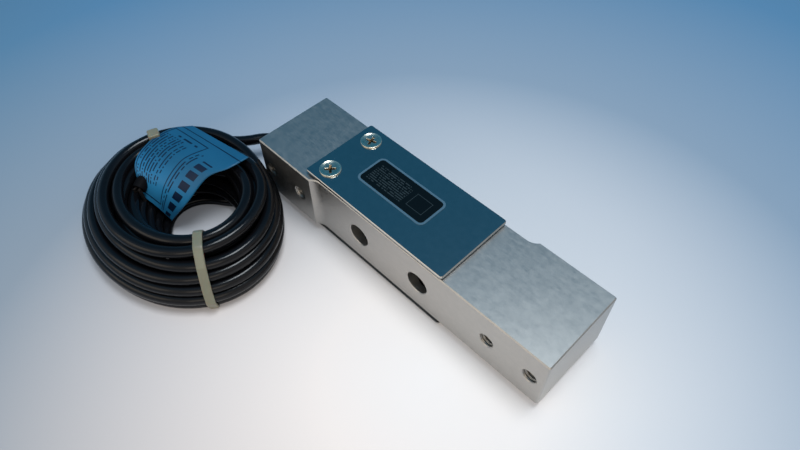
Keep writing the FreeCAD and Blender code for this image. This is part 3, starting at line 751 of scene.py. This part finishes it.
class CELL_OT_ties(bpy.types.Operator):
    """Put the two cable ties round the coil"""
    bl_idname = "cell.ties"
    bl_label = "Cable ties"

    def execute(self, context):
        s = settings("cable")
        nylon = bpy.data.materials["natural nylon"]
        line = cable_line()
        for name, place, node in (("front_strap", FRONT_STRAP, "front_tie"),
                                  ("rear_strap", REAR_STRAP, "rear_tie")):
            strap = strap_piece(name, line, place, s, nylon)
            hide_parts(node)
        head = rounded_block("rear_strap_head", HEAD_AT, REAR_STRAP[0], HEAD_SIZE, nylon)
        return {"FINISHED"}


# ---- tag -------------------------------------------------------------------------------------------
def tag_surface(u, v):
    """Point of the tag: across it by u on a line that slides by v through the given lines, each edge
    a Catmull-Rom curve through its points, bowed up between the edges by a half sine wave, whose height
    in millimetres is reached at a share of the length."""
    lines, bow, bow_full = np.array(TAG_LINES), 1.0, 1 / 2.2
    n = len(lines) - 1
    k = np.clip(v * n, 0, n - 0.000001)
    i = np.floor(k).astype(int)
    t = (k - i)[..., None, None]
    p0, p1, p2, p3 = (lines[np.clip(i + d, 0, n)] for d in (-1, 0, 1, 2))
    edge = 0.5 * (2 * p1 + (p2 - p0) * t + (2 * p0 - 5 * p1 + 4 * p2 - p3) * t ** 2
                  + (3 * p1 - p0 - 3 * p2 + p3) * t ** 3)
    a, b = edge[..., 0, :], edge[..., 1, :]
    point = a + (b - a) * u[..., None]
    point[..., 2] += bow * np.sin(math.pi * u) * np.minimum(1, v / bow_full)
    return point * MM


class CELL_OT_tag(bpy.types.Operator):
    """Lay the film tag over the coil"""
    bl_idname = "cell.tag"
    bl_label = "Tag"

    def execute(self, context):
        rows, cols = 72, 40
        v, u = np.meshgrid(np.linspace(0, 1, rows), np.linspace(0, 1, cols), indexing="ij")
        verts = tag_surface(u, v).reshape(-1, 3)
        tag = mesh_piece("film_tag", verts, grid_faces(rows, cols), bpy.data.materials["printed tag film"],
                         uv=np.stack([u.ravel(), v.ravel()], 1))
        solid = tag.modifiers.new("film", "SOLIDIFY")
        solid.thickness = settings("cable").tag_thickness
        solid.offset = 0.0
        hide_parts("tag")
        return {"FINISHED"}


class CELL_OT_declare(bpy.types.Operator):
    """Read the cable's diameter; nothing more is done"""
    bl_idname = "cell.declare"
    bl_label = "Declare cable"

    def execute(self, context):
        settings("cable").diameter
        return {"FINISHED"}


# ---- threads ---------------------------------------------------------------------------------------
def thread_piece(name, centre, inward, s, material):
    """Thread in a hole, from its mouth inwards. The radius falls and rises as a triangle wave of the
    depth plus the angle over a turn, with flats at its root and crest, and the wave fades in over the
    first turn. An outer wall just inside the hole closes the ring."""
    around, per_turn = 40, 8
    slope, flat, first = 2.6, 0.15, 0.15
    root_gap, wall_gap = 0.03 * MM, 0.01 * MM
    turns = int(round(s.reach / s.pitch))
    a = np.linspace(0, TAU, around, endpoint=False)[None, :]
    d = np.linspace(0, turns * s.pitch, turns * per_turn + 1)[:, None]
    phase = np.mod(d / s.pitch + a / TAU, 1.0)
    wave = np.clip(np.abs(phase - 0.5) * slope - flat, 0, 1)
    r = s.radius - root_gap - s.depth * wave * np.clip(d / s.pitch, first, 1)
    inner = np.stack([r * np.cos(a), d + 0 * a, r * np.sin(a)], -1)
    r_out = s.radius - wall_gap
    ends = np.array([[d[-1, 0]], [0.0]])
    outer = np.stack([r_out * np.cos(a) + 0 * ends, ends + 0 * a, r_out * np.sin(a) + 0 * ends], -1)
    ring = np.concatenate([inner, outer])
    verts = np.array(centre) + ring * np.array((1, inward, 1))
    faces = grid_faces(len(ring), around, True, True)
    if inward > 0:
        faces = faces[:, ::-1]
    return mesh_piece(name, verts.reshape(-1, 3), faces, material, smooth=False)


def screw_surface(turn, s):
    """Rows of a screw from the middle of its head outwards, and the mask of its recess. The head is a
    dish: level, then rising with a power of the radius to a crest, then falling as a quarter oval to a
    low side. Two crossed arms are sunk in it, less deep with the square of the radius. Underside and
    shank follow, as a profile turned about the axis."""
    level, power, side, wall, end_rise = 0.45, 2.4, 0.1, 0.14 * MM, 0.95
    a = np.linspace(0, TAU, 144, endpoint=False)[None, :]
    r = np.linspace(0.04 * MM, s.head_radius, 72)[:, None]
    crest = s.crest_place * s.head_radius
    climb = np.clip((r / crest - level) / (1 - level), 0, 1) ** power
    inside = s.dish_height + (s.head_height - s.dish_height) * climb
    fall = np.sqrt(np.clip(1 - ((r - crest) / (s.head_radius - crest)) ** 2, 0, 1))
    outside = s.head_height * (side + (1 - side) * fall)
    x, y = np.abs(r * np.cos(a - turn)), np.abs(r * np.sin(a - turn))

    def within(p, size):
        """1 inside half a size, falling to 0 over the wall's width."""
        return np.clip((size / 2 - p) / wall + 0.5, 0, 1)

    mask = np.maximum(within(x, s.cross_width) * within(y, s.cross_length),
                      within(y, s.cross_width) * within(x, s.cross_length))
    z = np.where(r < crest, inside, outside)
    z = z - mask * s.cross_depth * (1 - (2 * r / s.cross_length) ** 2 * end_rise)
    top = np.stack([r * np.cos(a), r * np.sin(a), z], -1)
    end, point = 0.95 * s.shank_length, 0.75 * s.shank_radius
    below = np.array([(s.head_radius, 0.0), (s.shank_radius, 0.0), (s.shank_radius, -end),
                      (point, -s.shank_length), (0.02 * s.shank_radius, -s.shank_length)])
    rod = np.stack([below[:, :1] * np.cos(a), below[:, :1] * np.sin(a), below[:, 1:] + 0 * a], -1)
    return np.concatenate([top, rod]), np.concatenate([mask, np.zeros((len(below), mask.shape[1]))])


class CELL_OT_screws(bpy.types.Operator):
    """Make the four cover screws with dished heads"""
    bl_idname = "cell.screws"
    bl_label = "Cover screws"

    def execute(self, context):
        s = settings("screw")
        low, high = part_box("cover_screws")
        x, y = (low.x + high.x) / 2, high.y - s.head_radius
        first_turn, next_turn = math.radians(18), math.radians(31)
        verts, faces, marks = [], [], []
        for i, (up, side) in enumerate(((1, 1), (1, -1), (-1, 1), (-1, -1))):
            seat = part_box("upper_cover")[1].z if up > 0 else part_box("lower_cover")[0].z
            ring, mask = screw_surface(first_turn + next_turn * i, s)
            rows, cols = mask.shape
            start, around = rows * cols * i, np.arange(cols)
            faces += (grid_faces(rows, cols, False, True)[:, ::-1] + start).tolist()
            faces += [(start + around).tolist(), (start + rows * cols - 1 - around).tolist()]
            verts.append(ring.reshape(-1, 3) * (1, up, up) + (x, side * y, seat))
            marks.append(mask.ravel())
        marks = np.concatenate(marks)
        nickel = bpy.data.materials["nickel plate"]
        piece = mesh_piece("dished_screws", np.concatenate(verts), faces, nickel,
                           uv=np.stack([marks * 0, marks], 1))
        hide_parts("cover_screws")
        return {"FINISHED"}


class CELL_OT_threads(bpy.types.Operator):
    """Cut the threads in the four mounting holes"""
    bl_idname = "cell.threads"
    bl_label = "Threads"

    def execute(self, context):
        s = settings("hole")
        # painted shade: the thread's metal is darker than the bar's aluminium, standing in for the shade
        # inside the holes
        metal = metal_material("thread with painted shade", (0.30, 0.285, 0.26), 0.34, grain=0.2, relief=0.0)
        low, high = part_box("beam_body")
        zm = (low.z + high.z) / 2
        # the left pad stands out at the front and the right one at the back
        for end, word, front, back in ((-1, "left", low.y, high.y - s.pad_rise),
                                       (1, "right", low.y + s.pad_rise, high.y)):
            for n, x in enumerate((s.outer_place, s.inner_place)):
                for label, y, inward in (("front", front, 1), ("back", back, -1)):
                    centre = (end * x, y + inward * s.mouth, zm)
                    name = "thread_%s_%s_%d" % (word, label, n + 1)
                    thread_piece(name, centre, inward, s, metal)
        return {"FINISHED"}


# ---- stage -----------------------------------------------------------------------------------------
def area_lamp(name, place, size, power, colour):
    """A soft rectangular lamp that looks at the floor under the bar's middle."""
    data = bpy.data.lights.new(name, "AREA")
    data.shape = "RECTANGLE"
    data.size, data.size_y = size
    data.energy = power
    data.color = colour
    lamp = bpy.data.objects.new(name, data)
    lamp.location = place
    lamp.rotation_euler = (-Vector(place)).to_track_quat("-Z", "Y").to_euler()
    bpy.context.scene.collection.objects.link(lamp)


def floor_material():
    """Paper sweep, white by the object and blue further out, a painted pool of light, and warmer towards the
    front, painted warm light from the front, with a little light of its own for the camera."""
    warm, warm_slope, own_light = (1.16, 0.98, 0.86), -6.5, 0.12
    mat, tree, bsdf = new_material("paper sweep")
    at = coords(tree)
    near = add(tree, "VectorMath", {0: at}, operation="SUBTRACT")
    near.inputs[1].default_value = PALE_AT
    far = add(tree, "VectorMath", {0: near.outputs[0]}, operation="LENGTH")
    # painted pool of light: pale near PALE_AT, blue further out
    colour = ramp(tree, times(tree, far.outputs["Value"], 1 / PALE_REACH), FLOOR_COLOURS)
    front = times(tree, add(tree, "SeparateXYZ", {0: at}).outputs[1], warm_slope)
    # painted warm light: the floor's colour is tinted warmer towards the front
    colour = tinted(tree, add(tree, "Clamp", {0: front}).outputs[0], colour, warm)
    feed(bsdf, Base_Color=colour, Roughness=0.9, Specular_IOR_Level=0.0)
    glow = add(tree, "Emission", {0: colour}, Strength=1.0)
    path = add(tree, "LightPath")
    share = times(tree, path.outputs["Is Camera Ray"], own_light)
    mix = add(tree, "MixShader", {0: share, 1: bsdf.outputs[0], 2: glow.outputs[0]})
    out = next(n for n in tree.nodes if n.type == "OUTPUT_MATERIAL")
    tree.links.new(mix.outputs[0], out.inputs[0])
    return mat


def build_world(strength):
    """Plain soft surround: pale low down and at the front, blue high up behind."""
    world = bpy.data.worlds.new("soft surround")
    bpy.context.scene.world = world
    world.use_nodes = True
    tree = world.node_tree
    tree.nodes.clear()
    out = tree.nodes.new("ShaderNodeOutputWorld")
    way = add(tree, "TexCoord").outputs["Generated"]
    dot = add(tree, "VectorMath", {0: way}, operation="DOT_PRODUCT")
    dot.inputs[1].default_value = tuple(Vector(SKY_WAY).normalized())
    place = plus(tree, times(tree, dot.outputs["Value"], 0.5), 0.5)
    back = add(tree, "Background", {0: ramp(tree, place, SKY_COLOURS)}, Strength=strength)
    tree.links.new(back.outputs[0], out.inputs[0])


def camera_matrix():
    """Place and turn of the camera: it looks back along a way given by two angles, and its right and up
    turn about that by the roll."""
    az, el, roll = (math.radians(v) for v in CAMERA_TURN)
    back = Vector((math.sin(az) * math.cos(el), -math.cos(az) * math.cos(el), math.sin(el)))
    level = Vector((math.cos(az), math.sin(az), 0.0))
    rise = back.cross(level)
    right = level * math.cos(roll) + rise * math.sin(roll)
    up = rise * math.cos(roll) - level * math.sin(roll)
    return Matrix([(*row, place) for *row, place in zip(right, up, back, CAMERA_AT)] + [(0, 0, 0, 1)])


class CELL_OT_stage(bpy.types.Operator):
    """Set the floor, surround, lamps and camera"""
    bl_idname = "cell.stage"
    bl_label = "Stage"

    def execute(self, context):
        s = settings("stage")
        half = s.floor_size / 2
        corners = [(-half, -half, 0), (half, -half, 0), (half, half, 0), (-half, half, 0)]
        mesh = bpy.data.meshes.new("floor")
        mesh.from_pydata(corners, [], [(0, 1, 2, 3)])
        mesh.materials.append(floor_material())
        floor = bpy.data.objects.new("floor", mesh)
        context.scene.collection.objects.link(floor)
        build_world(s.sky)
        for lamp in LAMPS:
            area_lamp(*lamp)
        data = bpy.data.cameras.new("camera")
        data.lens = s.lens
        data.sensor_width = 36.0
        camera = bpy.data.objects.new("camera", data)
        context.scene.collection.objects.link(camera)
        camera.matrix_world = camera_matrix()
        context.scene.camera = camera
        context.scene.view_settings.view_transform = "Standard"
        return {"FINISHED"}


# ---- add-on ----------------------------------------------------------------------------------------
SETTINGS = {"cable": CableSettings, "hole": HoleSettings, "screw": ScrewSettings,
            "finish": FinishSettings, "stage": StageSettings}
OPERATORS = [CELL_OT_finishes, CELL_OT_cable, CELL_OT_ties, CELL_OT_tag, CELL_OT_declare, CELL_OT_screws,
             CELL_OT_threads, CELL_OT_stage]


class CELL_PT_panel(bpy.types.Panel):
    """Settings and steps of the load cell"""
    bl_idname = "CELL_PT_panel"
    bl_label = "Load cell"
    bl_space_type = "VIEW_3D"
    bl_region_type = "UI"
    bl_category = "Load cell"

    def draw(self, context):
        for name, group in SETTINGS.items():
            box = self.layout.box()
            box.label(text=group.__doc__)
            for key in group.__annotations__:
                box.prop(settings(name), key)
        for operator in OPERATORS:
            self.layout.operator(operator.bl_idname)


def register():
    """Makes the classes and settings known."""
    for cls in (*SETTINGS.values(), *OPERATORS, CELL_PT_panel):
        bpy.utils.register_class(cls)
    for name, group in SETTINGS.items():
        setattr(bpy.types.Scene, "cell_" + name, bpy.props.PointerProperty(type=group))


def unregister():
    """Takes the classes and settings away."""
    for name in SETTINGS:
        delattr(bpy.types.Scene, "cell_" + name)
    for cls in (CELL_PT_panel, *reversed(OPERATORS), *reversed(list(SETTINGS.values()))):
        bpy.utils.unregister_class(cls)


def main():
    """Builds every piece and the stage."""
    register()
    for operator in OPERATORS:
        group, name = operator.bl_idname.split(".")
        getattr(getattr(bpy.ops, group), name)()
    bpy.context.view_layer.update()


if __name__ == "__main__":
    main()
